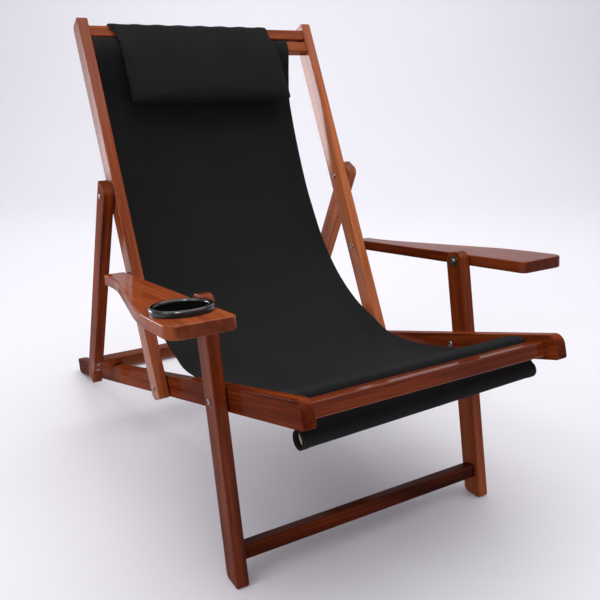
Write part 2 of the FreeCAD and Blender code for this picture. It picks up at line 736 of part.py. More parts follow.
RAIL_OUTSIDE = f"({RAIL_INSIDE} + wood_thickness)"
group("rail_pivot_washers",
      [gap_washer(f"rail_washer_{place}_{side_name}", side, RAIL_OUTSIDE, point)
       for side_name, side in SIDES.items()
       for place, point in (("front", RAIL.pivot), ("rear", BACK.pivot))])
group("prop_pivot_washers",
      [gap_washer(f"prop_washer_{side_name}", side, BACK_OUTSIDE, PROP.pivot)
       for side_name, side in SIDES.items()])

for side_name, side in SIDES.items():
    screws = []
    inserts = []
    washers = []
    for place, point in (("rear", REAR_SCREW), ("front", FRONT_SCREW)):
        label = f"{side_name}_{place}"
        screw = turned(f"armrest_screw_{label}", SCREW, DOME, socket=True)
        under_head = "cover_washer_thickness + face_gap" if place == "front" else "0"
        set_across(screw, side, f"{BACK_INSIDE} - face_gap - ({under_head})", point, facing_out=False)
        screws.append(screw)
        insert = turned(f"armrest_insert_{label}",
                        [("0", "sleeve_bore"), ("insert_length", "sleeve_bore"),
                         ("insert_length", "sleeve_radius"), ("0", "sleeve_radius")])
        set_across(insert, side, f"{PROP_INSIDE} + face_gap", point)
        inserts.append(insert)
        washers.append(gap_washer(f"armrest_washer_{label}", side, BACK_OUTSIDE, point))
    washers.append(washer(f"armrest_cover_washer_{side_name}", side,
                          f"{BACK_INSIDE} - face_gap - cover_washer_thickness", FRONT_SCREW,
                          "cover_washer_radius", "turning_hole_radius", "cover_washer_thickness"))
    group(f"{side_name}_armrest_screws", screws)
    group(f"{side_name}_armrest_inserts", inserts)
    group(f"{side_name}_armrest_washers", washers)

SMALL_SCREW = headed("small_head_radius", "small_head_height", "small_screw_radius", "small_screw_length")
SMALL_DOME = ("small_head_height", "small_head_dome", "small_head_radius - small_head_dome / 2")
small_screws = []
for side_name, side in SIDES.items():
    for index, spot in enumerate(SCREW_SPOTS):
        screw = turned(f"crossbar_screw_{side_name}_{index}", SMALL_SCREW, SMALL_DOME)
        y, z = PROP.at(spot, f"-{HALF_DEPTH} - face_gap / 2")
        # The head faces out of the prop's front edge, at right angles to its slope.
        facing = Rotation(Vector(-1, 0, 0), number_of("prop_slope")).multVec(Vector(0, 0, -1))
        screw.Placement = FreeCAD.Placement(Vector(), Rotation(Vector(1, 0, 0), facing))
        bind(screw, "Placement.Base.x", f"{side} * ({PROP_INSIDE} + wood_thickness / 2)")
        bind(screw, "Placement.Base.y", y)
        bind(screw, "Placement.Base.z", z)
        small_screws.append(screw)
group("crossbar_screws", small_screws)

# ---------------------------------------------------------------- sling and pillow


def curved_strip(points, thickness, left, right):
    """Cloth as a solid: a smooth line through the points, thickened and drawn across the chair."""
    line = Part.BSplineCurve()
    line.interpolate(points)
    above = []
    below = []
    for point in points:
        along = line.tangent(line.parameter(point))[0]
        normal = Vector(0, -along.z, along.y)
        above.append(point + normal * (thickness / 2))
        below.append(point - normal * (thickness / 2))
    sides = []
    for row in (above, below):
        side_line = Part.BSplineCurve()
        side_line.interpolate(row)
        sides.append(side_line.toShape())
    ends = [Part.makeLine(above[0], below[0]), Part.makeLine(above[-1], below[-1])]
    section = Part.Face(Part.Wire(Part.__sortEdges__(sides + ends)))
    section.translate(Vector(left, 0, 0))
    return section.extrude(Vector(right - left, 0, 0))


def hem(centre, bore_radius, wall, left, right, tilt):
    """The tube of cloth sewn round a dowel, tilted with it."""
    direction = Rotation(Vector(0, 1, 0), -tilt).multVec(Vector(1, 0, 0))
    start = centre + direction * left
    outer = Part.makeCylinder(bore_radius + wall, right - left, start, direction)
    inner = Part.makeCylinder(bore_radius, right - left, start, direction)
    return outer, inner


def cloth_part(name, frame, line, dowel, dowel_radius, strip_sides, hem_sides, tilt=0):
    """A stretch of the sling that ends in a hem round its dowel. The sides are its left and right edges."""
    points = [frame.point(0, *place) for place in line]
    strip = curved_strip(points, number_of("cloth_thickness"), *strip_sides)
    bore_radius = number_of(f"{dowel_radius} + hem_clearance")
    outer, inner = hem(frame.point(0, *dowel), bore_radius, number_of("hem_thickness"), *hem_sides, tilt)
    thing = doc.addObject("Part::Feature", name)
    thing.Label = name
    thing.Shape = strip.fuse(outer).cut(inner).removeSplitter()
    thing.Placement = FreeCAD.Placement()
    return thing


# From the front hem up between the two front bars, over the sling bar and back along the seat.
SEAT_LINE = [(-196, -38), (-196, -20), (-196, -5), (-196, 8), (-193.5, 14.8), (-187, 18.1), (-170, 18.2),
             (-156, 18.2), (-147, 16.6), (-119, 9), (-80, -3.5), (-42, -4.6), (2, -4.2), (48, -3.2), (80, 0),
             (120, 6), (144, 10.6)]
# From the top hem forward between the two top bars, over the lower one and down the back.
BACK_LINE = [(725.3, -9), (725.3, 0), (725.3, 10), (724, 17), (718.5, 20.2), (710, 20.2), (700, 19),
             (690, 13), (660, -9), (611, -40), (560, -51), (514, -57), (451, -63.5), (389, -66.5),
             (333, -63.5), (270, -57), (216, -44), (160, -23), (92, 18.5), (35, 76), (3, 112)]
SEAT_HALF = number_of("seat_sling_half")
HEM_SIDES = (number_of("hem_left"), number_of("hem_right"))
BACK_SIDES = (number_of("back_sling_left"), number_of("back_sling_right"))
TOP_HEM_SIDES = (number_of("top_hem_left"), number_of("back_sling_right"))
cloth_part("seat_sling", RAIL, SEAT_LINE, ("front_dowel_along", "front_dowel_rise"), "front_dowel_radius",
           (-SEAT_HALF, SEAT_HALF), HEM_SIDES, number_of("front_dowel_tilt"))
# The back's cloth hangs nearer the left upright than the right one, most of all at the top.
cloth_part("back_sling", BACK, BACK_LINE, ("top_dowel_along", "top_dowel_rise"), "top_dowel_radius",
           BACK_SIDES, TOP_HEM_SIDES)

# The pillow's section: over the upper bar, down the front, round the stuffed end and back up the sling.
PILLOW_LINE = [(753, -9), (755.6, -9), (755.6, 20), (740, 26), (690, 34), (640, 30), (608, 23), (592, 18),
               (584, 6), (588, -12), (598, -31), (611, -37), (650, -12), (682, 14.5), (697, 23),
               (718, 24), (753, 20)]
pillow_outline = Part.makePolygon([BACK.point(number_of("pillow_left"), *place)
                                   for place in PILLOW_LINE + PILLOW_LINE[:1]])
pillow = doc.addObject("Part::Feature", "pillow")
pillow.Label = "pillow"
pillow.Shape = Part.Face(pillow_outline).extrude(Vector(number_of("pillow_right - pillow_left"), 0, 0))
pillow.Placement = FreeCAD.Placement()

# ---------------------------------------------------------------- checks and files

NODES = """left_rail right_rail front_bar sling_bar rear_stretcher front_dowel seat_sling leg_pivot_bolts
leg_pivot_nuts back_pivot_bolts back_pivot_nuts rail_pivot_washers left_upright right_upright upper_top_bar
lower_top_bar top_dowel back_sling pillow prop_pivot_bolts prop_pivot_nuts prop_pivot_washers left_prop
right_prop prop_crossbar crossbar_screws left_leg right_leg leg_stretcher left_armrest cup_holder
left_armrest_screws left_armrest_inserts left_armrest_washers right_armrest right_armrest_screws
right_armrest_inserts right_armrest_washers""".split()

doc.recompute()
for thing in doc.Objects:
    if any(word in thing.State for word in ("Invalid", "Error")):
        raise RuntimeError(f"{thing.Name} failed: {thing.State} {thing.getStatusString()}")
    if thing.TypeId == "PartDesign::Pocket":
        removed = thing.BaseFeature.Shape.Volume - thing.Shape.Volume
        if removed < 1:
            raise RuntimeError(f"{thing.Name} cuts nothing")

for node in NODES:
    shape = doc.getObject(node).Shape
    if shape.isNull() or not shape.isValid() or not shape.Solids:
        raise RuntimeError(f"{node} has no valid solid")
    shape.exportStep(f"parts/{node}.step")
    print(f"{node:24s} {len(shape.Solids)} solid(s) {shape.Volume / 1000:9.2f} cm3")
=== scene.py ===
import json
import math

import bmesh
import bpy
import numpy as np
from mathutils import Matrix, Vector


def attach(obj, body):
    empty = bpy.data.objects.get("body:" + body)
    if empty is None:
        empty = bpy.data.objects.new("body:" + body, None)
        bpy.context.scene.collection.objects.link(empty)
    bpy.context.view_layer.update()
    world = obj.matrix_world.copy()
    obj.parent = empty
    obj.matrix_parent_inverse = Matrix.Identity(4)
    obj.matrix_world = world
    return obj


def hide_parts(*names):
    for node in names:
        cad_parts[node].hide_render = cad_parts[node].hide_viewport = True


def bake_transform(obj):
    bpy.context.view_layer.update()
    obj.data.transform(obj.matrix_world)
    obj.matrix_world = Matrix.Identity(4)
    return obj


# A wooden folding beach chair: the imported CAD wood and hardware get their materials, and the cloth sling,
# its stitching and the head pillow are built here. Metres, in the chair's own frame.

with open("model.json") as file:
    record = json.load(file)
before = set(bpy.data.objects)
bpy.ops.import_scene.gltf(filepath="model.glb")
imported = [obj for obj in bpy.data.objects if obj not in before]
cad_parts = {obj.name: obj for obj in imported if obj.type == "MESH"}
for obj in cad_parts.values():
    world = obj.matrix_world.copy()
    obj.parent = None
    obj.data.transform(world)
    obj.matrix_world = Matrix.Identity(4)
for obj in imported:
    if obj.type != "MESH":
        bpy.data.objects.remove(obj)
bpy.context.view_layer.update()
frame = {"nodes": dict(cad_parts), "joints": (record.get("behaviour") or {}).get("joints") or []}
scene = bpy.context.scene

# ---------------------------------------------------------------- the chair's frames

JOINTS = {joint["name"]: joint["pos_m"] for joint in frame["joints"]}
LEG_PIVOT = JOINTS["leg_fold"]
BACK_PIVOT = JOINTS["back_fold"]
RAIL_SLOPE = -16.0
BACK_SLOPE = 63.8
LEG_SLOPE = 79.1
PROP_SLOPE = -63.9
ARM_SLOPE = -5.925


def directions(slope):
    """The unit vectors along a board with this slope and over its upper side."""
    angle = math.radians(slope)
    return Vector((0, math.cos(angle), math.sin(angle))), Vector((0, -math.sin(angle), math.cos(angle)))


def on_rail(along, over):
    a, o = directions(RAIL_SLOPE)
    return Vector((0, LEG_PIVOT[1], LEG_PIVOT[2])) + a * along + o * over


def on_back(along, over):
    a, o = directions(BACK_SLOPE)
    return Vector((0, BACK_PIVOT[1], BACK_PIVOT[2])) + a * along + o * over


# ---------------------------------------------------------------- camera

camera_data = bpy.data.cameras.new("camera")
camera_data.sensor_width = 36
camera_data.lens = 44.07
camera = bpy.data.objects.new("camera", camera_data)
scene.collection.objects.link(camera)
right = Vector((0.86222, -0.50644, -0.01019))
down = Vector((-0.15590, -0.24618, -0.95660))
forward = Vector((0.48195, 0.82639, -0.29121))
eye = Vector((-0.6927, -1.3863, 0.80346))
camera.matrix_world = Matrix((
    (right.x, -down.x, -forward.x, eye.x),
    (right.y, -down.y, -forward.y, eye.y),
    (right.z, -down.z, -forward.z, eye.z),
    (0, 0, 0, 1),
))
camera_data.clip_start = 0.05
camera_data.clip_end = 100
scene.camera = camera
scene.view_settings.view_transform = "Standard"

# ---------------------------------------------------------------- node helpers


class Graph:
    """A material being built."""

    def __init__(self, name):
        self.material = bpy.data.materials.new(name)
        self.material.use_nodes = True
        self.tree = self.material.node_tree
        self.shader = self.tree.nodes["Principled BSDF"]

    def node(self, kind, **settings):
        made = self.tree.nodes.new(kind)
        for key, value in settings.items():
            setattr(made, key, value)
        return made

    def link(self, source, target):
        self.tree.links.new(source, target)

    def put(self, socket, value):
        if isinstance(value, bpy.types.NodeSocket):
            self.link(value, socket)
        else:
            socket.default_value = value

    def math(self, operation, *values):
        made = self.node("ShaderNodeMath", operation=operation)
        for index, value in enumerate(values):
            self.put(made.inputs[index], value)
        return made.outputs[0]

    def dot(self, vector, direction):
        made = self.node("ShaderNodeVectorMath", operation="DOT_PRODUCT")
        self.put(made.inputs[0], vector)
        made.inputs[1].default_value = direction
        return made.outputs["Value"]

    def combine(self, x, y, z):
        made = self.node("ShaderNodeCombineXYZ")
        for index, value in enumerate((x, y, z)):
            self.put(made.inputs[index], value)
        return made.outputs[0]

    def noise(self, vector, scale=1.0, detail=3.0, roughness=0.5, distortion=0.0):
        made = self.node("ShaderNodeTexNoise")
        self.put(made.inputs["Vector"], vector)
        made.inputs["Scale"].default_value = scale
        made.inputs["Detail"].default_value = detail
        made.inputs["Roughness"].default_value = roughness
        made.inputs["Distortion"].default_value = distortion
        return made.outputs[0]

    def ramp(self, factor, stops):
        made = self.node("ShaderNodeValToRGB")
        self.put(made.inputs[0], factor)
        elements = made.color_ramp.elements
        while len(elements) < len(stops):
            elements.new(0.5)
        for element, (position, colour) in zip(elements, stops):
            element.position = position
            element.color = (*colour, 1)
        return made.outputs[0]

    def mix(self, factor, first, second):
        made = self.node("ShaderNodeMix", data_type="RGBA", blend_type="MIX")
        self.put(made.inputs[0], factor)
        for socket, value in ((made.inputs[6], first), (made.inputs[7], second)):
            self.put(socket, (*value, 1) if isinstance(value, tuple) else value)
        return made.outputs[2]

    def span(self, value, low, high, to_low=0.0, to_high=1.0):
        made = self.node("ShaderNodeMapRange")
        self.put(made.inputs[0], value)
        for index, number in enumerate((low, high, to_low, to_high), 1):
            made.inputs[index].default_value = number
        return made.outputs[0]

    def bump(self, height, distance, strength=1.0):
        made = self.node("ShaderNodeBump")
        self.put(made.inputs["Height"], height)
        made.inputs["Distance"].default_value = distance
        made.inputs["Strength"].default_value = strength
        return made.outputs[0]

    def set(self, **values):
        for name, value in values.items():
            self.put(self.shader.inputs[name.replace("_", " ")], value)


def give(thing, material):
    thing.data.materials.clear()
    thing.data.materials.append(material)


# ---------------------------------------------------------------- mesh helpers


def piece_of(mesh, name):
    """A new object in the scene, made from a finished bmesh."""
    data = bpy.data.meshes.new(name)
    mesh.to_mesh(data)
    mesh.free()
    thing = bpy.data.objects.new(name, data)
    scene.collection.objects.link(thing)
    return thing


def close_sheet(mesh, uv, rows, name):
    """A closed thin sheet from rows of (front vertex, back vertex, place on the flat cloth)."""

    def face(*corners):
        made = mesh.faces.new([vertex for vertex, place in corners])
        made.smooth = True
        for loop, (vertex, place) in zip(made.loops, corners):
            loop[uv].uv = place

    for lower, upper in zip(rows, rows[1:]):
        for a, b, c, d in zip(lower, lower[1:], upper[1:], upper):
            face(*[(p[0], p[2]) for p in (a, b, c, d)])
            face(*[(p[1], p[2]) for p in (d, c, b, a)])
    rims = (rows[0], rows[-1], [row[0] for row in rows], [row[-1] for row in rows])
    for rim in rims:
        for a, b in zip(rim, rim[1:]):
            face((a[0], a[2]), (b[0], b[2]), (b[1], b[2]), (a[1], a[2]))
    bmesh.ops.recalc_face_normals(mesh, faces=mesh.faces)
    return piece_of(mesh, name)


# ---------------------------------------------------------------- wood

DARK = (0.030, 0.0040, 0.0010)
MIDDLE = (0.120, 0.0185, 0.0045)
LIGHT = (0.225, 0.0440, 0.0110)
PALE = (0.330, 0.0820, 0.0240)
HONEY = (0.560, 0.1750, 0.0620)


def wood(name, along, across, seed, stain_and_painted_light, varnish):
    """Stained, varnished hardwood whose fibres run along a direction."""
    g = Graph(name)
    third = Vector(along).cross(Vector(across)).normalized()
    place = g.node("ShaderNodeTexCoord")
    spot = place.outputs["Object"]
    u = g.dot(spot, along)
    v = g.dot(spot, across)
    w = g.dot(spot, third)
    lengthwise = g.math("ADD", u, seed * 0.737)

    def streaks(by_length, by_width, **detail):
        """Noise that is by_length cells long and by_width cells wide in a metre."""
        return g.noise(g.combine(g.math("MULTIPLY", lengthwise, by_length), g.math("MULTIPLY", v, by_width),
                                 g.math("MULTIPLY", w, by_width)), **detail)

    broad = streaks(1.6, 11.0, detail=3, distortion=0.5)
    bands = streaks(3.4, 85.0, detail=4, roughness=0.55, distortion=0.3)
    fibres = streaks(13.0, 800.0, detail=4, roughness=0.6)
    pores = streaks(150.0, 2300.0, detail=1)
    figure = g.math("ADD", g.math("MULTIPLY", broad, 0.46), g.math("MULTIPLY", bands, 0.34))
    figure = g.math("ADD", figure, g.math("MULTIPLY", fibres, 0.20))
    # The board's tone shift is partly real stain and partly painted light and shade: paler where the board
    # is lit, darker where it is shaded.
    tone = g.ramp(g.math("ADD", figure, stain_and_painted_light), [(0.34, DARK), (0.47, MIDDLE), (0.57, LIGHT), (0.70, PALE),
                                                 (0.84, HONEY)])
    pore = g.span(pores, 0.60, 0.70)
    tone = g.mix(g.math("MULTIPLY", pore, 0.35), tone, DARK)
    # End grain drinks more stain.
    facing = g.math("ABSOLUTE", g.dot(place.outputs["Normal"], along))
    tone = g.mix(g.span(facing, 0.75, 0.97, 0.0, 0.6), tone, (0.050, 0.0070, 0.0020))
    height = g.math("SUBTRACT", g.math("MULTIPLY", fibres, 0.6), g.math("MULTIPLY", pore, 0.7))
    g.set(Base_Color=tone, Roughness=g.span(fibres, 0.3, 0.7, 0.42, 0.58), Specular_IOR_Level=0.0,
          Normal=g.bump(height, 0.00025, 0.25))
    ripple = g.noise(g.combine(g.math("MULTIPLY", u, 24.0), g.math("MULTIPLY", v, 60.0),
                               g.math("MULTIPLY", w, 60.0)), detail=2)
    g.set(Coat_Weight=varnish, Coat_Roughness=0.13, Coat_IOR=1.38, Coat_Normal=g.bump(ripple, 0.0004, 0.08))
    return g.material


def pale_wood(name, seed):
    """Bare, unstained dowel wood with its fibres across the chair."""
    g = Graph(name)
    place = g.node("ShaderNodeTexCoord")
    spot = place.outputs["Object"]
    x = g.math("MULTIPLY", g.dot(spot, (1, 0, 0)), 12.0)
    y = g.math("MULTIPLY", g.dot(spot, (0, 1, 0)), 500.0)
    z = g.math("ADD", g.math("MULTIPLY", g.dot(spot, (0, 0, 1)), 500.0), seed)
    fibres = g.noise(g.combine(x, y, z), detail=5, roughness=0.6)
    tone = g.ramp(fibres, [(0.3, (0.36, 0.25, 0.16)), (0.5, (0.60, 0.48, 0.36)), (0.7, (0.74, 0.64, 0.52))])
    g.set(Base_Color=tone, Roughness=0.62, Normal=g.bump(fibres, 0.0003, 0.4))
    return g.material


X_AXIS = (1.0, 0.0, 0.0)
RAIL_ALONG, RAIL_OVER = directions(RAIL_SLOPE)
BACK_ALONG, BACK_OVER = directions(BACK_SLOPE)
LEG_ALONG, LEG_OVER = directions(LEG_SLOPE)
PROP_ALONG, PROP_OVER = directions(PROP_SLOPE)
ARM_ALONG = directions(ARM_SLOPE)[0]

# Each board's fibre direction, its width direction, its tone shift (partly real stain, partly painted light
# and shade: paler on lit boards such as the uprights, darker on shaded ones such as the rails, legs, bars
# and stretcher) and how thick its varnish.
WOOD = {
    "left_rail": (RAIL_ALONG, RAIL_OVER, -0.025, 0.10),
    "right_rail": (RAIL_ALONG, RAIL_OVER, -0.02, 0.20),
    "front_bar": (X_AXIS, RAIL_OVER, -0.065, 0.60),
    "sling_bar": (X_AXIS, RAIL_OVER, 0.0, 0.30),
    "rear_stretcher": (X_AXIS, RAIL_OVER, 0.0, 0.30),
    "left_upright": (BACK_ALONG, BACK_OVER, 0.10, 0.75),
    "right_upright": (BACK_ALONG, BACK_OVER, 0.28, 0.60),
    "upper_top_bar": (X_AXIS, BACK_ALONG, 0.14, 0.30),
    "lower_top_bar": (X_AXIS, BACK_ALONG, 0.12, 0.30),
    "left_leg": (LEG_ALONG, LEG_OVER, -0.02, 0.32),
    "right_leg": (LEG_ALONG, LEG_OVER, 0.065, 0.36),
    "leg_stretcher": (X_AXIS, LEG_ALONG, -0.125, 0.15),
    "left_prop": (PROP_ALONG, PROP_OVER, 0.0, 0.20),
    "right_prop": (PROP_ALONG, PROP_OVER, 0.19, 0.45),
    "prop_crossbar": (X_AXIS, PROP_ALONG, 0.04, 0.45),
    "left_armrest": (ARM_ALONG, X_AXIS, 0.135, 0.42),
    "right_armrest": (ARM_ALONG, X_AXIS, -0.02, 0.50),
}
for index, (node, (along, across, stain_and_painted_light, varnish)) in enumerate(WOOD.items(), 1):
    give(frame["nodes"][node], wood(f"wood_{node}", tuple(along), tuple(across), index, stain_and_painted_light, varnish))
give(frame["nodes"]["front_dowel"], pale_wood("wood_front_dowel", 3.0))
give(frame["nodes"]["top_dowel"], pale_wood("wood_top_dowel", 8.0))

# ---------------------------------------------------------------- steel and plastic


def steel(name):
    """Bright plated steel with fine turning marks and a little dulling."""
    g = Graph(name)
    spot = g.node("ShaderNodeTexCoord").outputs["Object"]
    marks = g.noise(spot, scale=1900.0, detail=3)
    dull = g.noise(spot, scale=260.0, detail=4)
    tone = g.ramp(dull, [(0.35, (0.15, 0.14, 0.13)), (0.65, (0.36, 0.34, 0.31))])
    g.set(Base_Color=tone, Metallic=1.0, Roughness=g.span(dull, 0.3, 0.7, 0.24, 0.42),
          Normal=g.bump(marks, 0.00005, 0.3))
    return g.material


def gloss_plastic(name):
    """Glossy black moulded plastic with a faint moulding ripple."""
    g = Graph(name)
    spot = g.node("ShaderNodeTexCoord").outputs["Object"]
    ripple = g.noise(spot, scale=90.0, detail=2)
    speckle = g.noise(spot, scale=1400.0, detail=2)
    tone = g.ramp(speckle, [(0.4, (0.004, 0.004, 0.004)), (0.7, (0.012, 0.011, 0.011))])
    g.set(Base_Color=tone, Roughness=g.span(ripple, 0.3, 0.7, 0.10, 0.18), Specular_IOR_Level=0.6,
          Normal=g.bump(ripple, 0.0003, 0.15))
    return g.material


STEEL = steel("bright_steel")
for node in frame["nodes"]:
    if node.endswith(("bolts", "nuts", "screws", "inserts", "washers")):
        give(frame["nodes"][node], STEEL)
give(frame["nodes"]["cup_holder"], gloss_plastic("black_plastic"))

# ---------------------------------------------------------------- cloth

THREAD = 0.0009


def woven(g, across, lengthwise, pitch):
    """Height of a plain weave from two coordinates in metres."""
    turn = 2 * math.pi / pitch
    first = g.math("SINE", g.math("MULTIPLY", across, turn))
    second = g.math("SINE", g.math("MULTIPLY", lengthwise, turn))
    return g.math("MULTIPLY", first, second)


def charcoal(name, by_surface=True):
    """Charcoal plain-weave cloth. The weave follows a sheet's own lengths, or the back's slope on a pad."""
    g = Graph(name)
    place = g.node("ShaderNodeTexCoord")
    spot = place.outputs["Object"]
    if by_surface:
        parts = g.node("ShaderNodeSeparateXYZ")
        g.link(place.outputs["UV"], parts.inputs[0])
        across, lengthwise = parts.outputs[0], parts.outputs[1]
    else:
        across, lengthwise = g.dot(spot, X_AXIS), g.dot(spot, tuple(BACK_ALONG))
    weave = woven(g, across, lengthwise, THREAD)
    slub = g.noise(g.combine(g.math("MULTIPLY", across, 30.0), g.math("MULTIPLY", lengthwise, 900.0), 0.0),
                   detail=3)
    rub = g.noise(spot, scale=7.0, detail=4)
    tone = g.ramp(g.math("ADD", g.math("MULTIPLY", rub, 0.6), g.math("MULTIPLY", slub, 0.4)),
                  [(0.35, (0.0170, 0.0170, 0.0172)), (0.65, (0.0215, 0.0215, 0.0219))])
    # Painted shade: the cloth is darker in the dips of the weave, between the threads.
    tone = g.mix(g.span(weave, -1.0, 1.0, 0.35, 0.0), tone, (0.006, 0.006, 0.006))
    g.set(Base_Color=tone, Roughness=1.0, Specular_IOR_Level=0.04, Sheen_Weight=0.01, Sheen_Roughness=0.5,
          Normal=g.bump(g.math("ADD", weave, g.math("MULTIPLY", slub, 0.8)), 0.0002, 0.5))
    return g.material


def thread(name):
    """Twisted charcoal sewing thread."""
    g = Graph(name)
    spot = g.node("ShaderNodeTexCoord").outputs["Object"]
    twist = g.noise(spot, scale=2400.0, detail=2)
    g.set(Base_Color=g.ramp(twist, [(0.35, (0.009, 0.009, 0.009)), (0.65, (0.020, 0.020, 0.021))]),
          Roughness=0.6, Normal=g.bump(twist, 0.0001, 0.5))
    return g.material


def smooth_line(points, step):
    """Evenly spaced points on a smooth curve through the points (centripetal Catmull-Rom)."""
    pts = [2 * points[0] - points[1], *points, 2 * points[-1] - points[-2]]
    fine = []
    for p0, p1, p2, p3 in zip(pts, pts[1:], pts[2:], pts[3:]):
        t1 = (p1 - p0).length ** 0.5
        t2 = t1 + (p2 - p1).length ** 0.5
        t3 = t2 + (p3 - p2).length ** 0.5
        count = max(2, int((p2 - p1).length / step * 4))
        for i in range(count):
            t = t1 + (t2 - t1) * i / count
            a1 = p0 * ((t1 - t) / t1) + p1 * (t / t1)
            a2 = p1 * ((t2 - t) / (t2 - t1)) + p2 * ((t - t1) / (t2 - t1))
            a3 = p2 * ((t3 - t) / (t3 - t2)) + p3 * ((t - t2) / (t3 - t2))
            b1 = a1 * ((t2 - t) / t2) + a2 * (t / t2)
            b2 = a2 * ((t3 - t) / (t3 - t1)) + a3 * ((t - t1) / (t3 - t1))
            fine.append(b1 * ((t2 - t) / (t2 - t1)) + b2 * ((t - t1) / (t2 - t1)))
    fine.append(points[-1])
    lengths = np.concatenate([[0], np.cumsum([(b - a).length for a, b in zip(fine, fine[1:])])])
    rows = int(lengths[-1] / step) + 1
    places = np.linspace(0, lengths[-1], rows)
    found = np.stack([np.interp(places, lengths, [p[k] for p in fine]) for k in range(3)], axis=1)
    return [Vector(p) for p in found], places


def bent(first, last, centre, radius, frame_of, turns):
    """Points round a dowel, from the angle first to the angle last in a board's own frame."""
    angles = [math.radians(first + (last - first) * i / turns) for i in range(turns + 1)]
    return [frame_of(centre[0] + radius * math.cos(a), centre[1] + radius * math.sin(a)) for a in angles]


def mm(points, frame_of):
    """Points given in millimetres in a board's own frame."""
    return [frame_of(a / 1000, b / 1000) for a, b in points]


CLOTH = 0.0014
FRONT_HEM = bent(104, -236, (-0.188, -0.0435), 0.0142, on_rail, 18)
HEM_TILT = math.tan(math.radians(1.4))
TOP_HEM = bent(86, 426, (0.7253, -0.0195), 0.0113, on_back, 16)
# The sling's middle line: round its front hem, up the slot between the bars, over the seat, up the back,
# over the lower top bar and round its top hem.
SLING_LINE = (
    mm([(-193.3, -12), (-193.4, -22)], on_rail)
    + FRONT_HEM
    + mm([(-196.2, -27), (-196.2, -12), (-196.2, 2), (-195.6, 11), (-192.5, 16), (-186, 17.8), (-172, 17.9),
          (-158, 17.7), (-148, 15.9), (-119, 8.8), (-80, -3.6), (-42, -4.8), (2, -4.4), (48, -3.4), (80, 0),
          (120, 6), (144, 10.8), (176, 20.5)], on_rail)
    + mm([(14, 95), (38, 72), (92, 18.5), (160, -23), (216, -44), (270, -57), (333, -63.5), (389, -66.5),
          (451, -63.5), (514, -57), (560, -50), (611, -38), (660, -9), (690, 12.5), (702, 18.4),
          (712, 19.4), (719.5, 19.0), (723.6, 16.5), (726.3, 9), (726.3, -4)], on_back)
    + TOP_HEM
    + mm([(724.3, -5), (724.3, 4)], on_back)
)
LINE_STEP = 0.005
line, lengths = smooth_line(SLING_LINE, LINE_STEP)
SLING_LENGTH = float(lengths[-1])


def nearest(point):
    """The length along the sling at its nearest point."""
    return float(lengths[min(range(len(line)), key=lambda i: (line[i] - point).length)])


S_BAR = nearest(on_rail(-0.172, 0.0179))
S_SLOT = nearest(on_rail(-0.1962, -0.010))
S_SEAT = nearest(on_rail(-0.03, -0.0047))
S_BEND = nearest(on_rail(0.176, 0.0205))
S_LOW = nearest(on_back(0.092, 0.0185))
S_MID = nearest(on_back(0.389, -0.0665))
S_TOP = nearest(on_back(0.702, 0.0184))
# Each edge's distance from the chair's middle at lengths along the sling.
LEFT_EDGE = [
    (0, 0.2245), (S_BAR - 0.06, 0.2255), (S_BAR - 0.02, 0.2285), (S_SEAT, 0.2280), (S_BEND - 0.03, 0.2290),
    (S_BEND, 0.234), (S_BEND + 0.02, 0.243), (S_LOW, 0.2475), (S_MID, 0.2470), (S_TOP - 0.06, 0.2528),
    (S_TOP, 0.2525), (SLING_LENGTH, 0.2512),
]
RIGHT_EDGE = [
    (0, 0.2390), (S_BAR - 0.09, 0.2380), (S_BAR - 0.03, 0.2270), (S_SEAT, 0.2195), (S_BEND, 0.2180),
    (S_LOW, 0.2180), (S_MID, 0.2140), (S_TOP - 0.08, 0.2080), (S_TOP, 0.2015), (SLING_LENGTH, 0.2015),
]
CREASES = [(nearest(on_back(0.330, -0.0633)), 0.0009), (nearest(on_back(0.452, -0.0634)), 0.0005)]


def edge_at(table, s):
    """A smooth read of an edge's distance from the middle."""
    xs, ys = zip(*table)
    near = [np.interp(s + d, xs, ys) for d in (-0.02, -0.01, 0, 0.01, 0.02)]
    return float(np.mean(near))


def bell(s, middle, width):
    """1 at the middle, fading to 0 about two widths away."""
    return math.exp(-((s - middle) / width) ** 2)


MIDDLE_SAG = 0.0035
LEFT_DROOP = 0.006
LEFT_CURL = 0.029
CREASE_WIDTH = 0.004


def sag(s, across):
    """How far the cloth hangs below its line. across is -1 at the left edge and 1 at the right."""
    free = 1 / (1 + math.exp(-(s - S_BAR - 0.09) / 0.02)) / (1 + math.exp((s - S_TOP + 0.07) / 0.02))
    drop = MIDDLE_SAG * (1 - across * across)
    droop = LEFT_DROOP * bell(s, S_LOW, 0.13) * max(0, -across - 0.3) ** 1.5
    wave = 0.0009 * math.sin(across * 7.1 + s * 6.0) + 0.0007 * math.sin(across * 3.3 - s * 11.0 + 1.1)
    pull = 0.0012 * math.sin(across * 21 + 0.6) * bell(s, S_TOP - 0.06, 0.07)
    pull += 0.0010 * math.sin(across * 17 + 2.0) * bell(s, S_BAR + 0.10, 0.06)
    # The left edge follows its upright more closely, so it stays above the rail when the chair is folded.
    near_left = min(1.0, max(0.0, (-across - 0.55) / 0.40))
    curl = LEFT_CURL * near_left ** 2 * (3 - 2 * near_left) * (bell(s, S_MID - 0.10, 0.20) ** 0.5)
    crease = sum(size * bell(s, middle + 0.012 * across, CREASE_WIDTH) for middle, size in CREASES)
    return free * (drop + droop + wave + pull - crease) - curl


HEM = 0.013
HEM_COLUMNS = [0.0, 0.0006, 0.002, 0.006, HEM - 0.001, HEM, HEM + 0.001]
MIDDLE_COLUMNS = 44


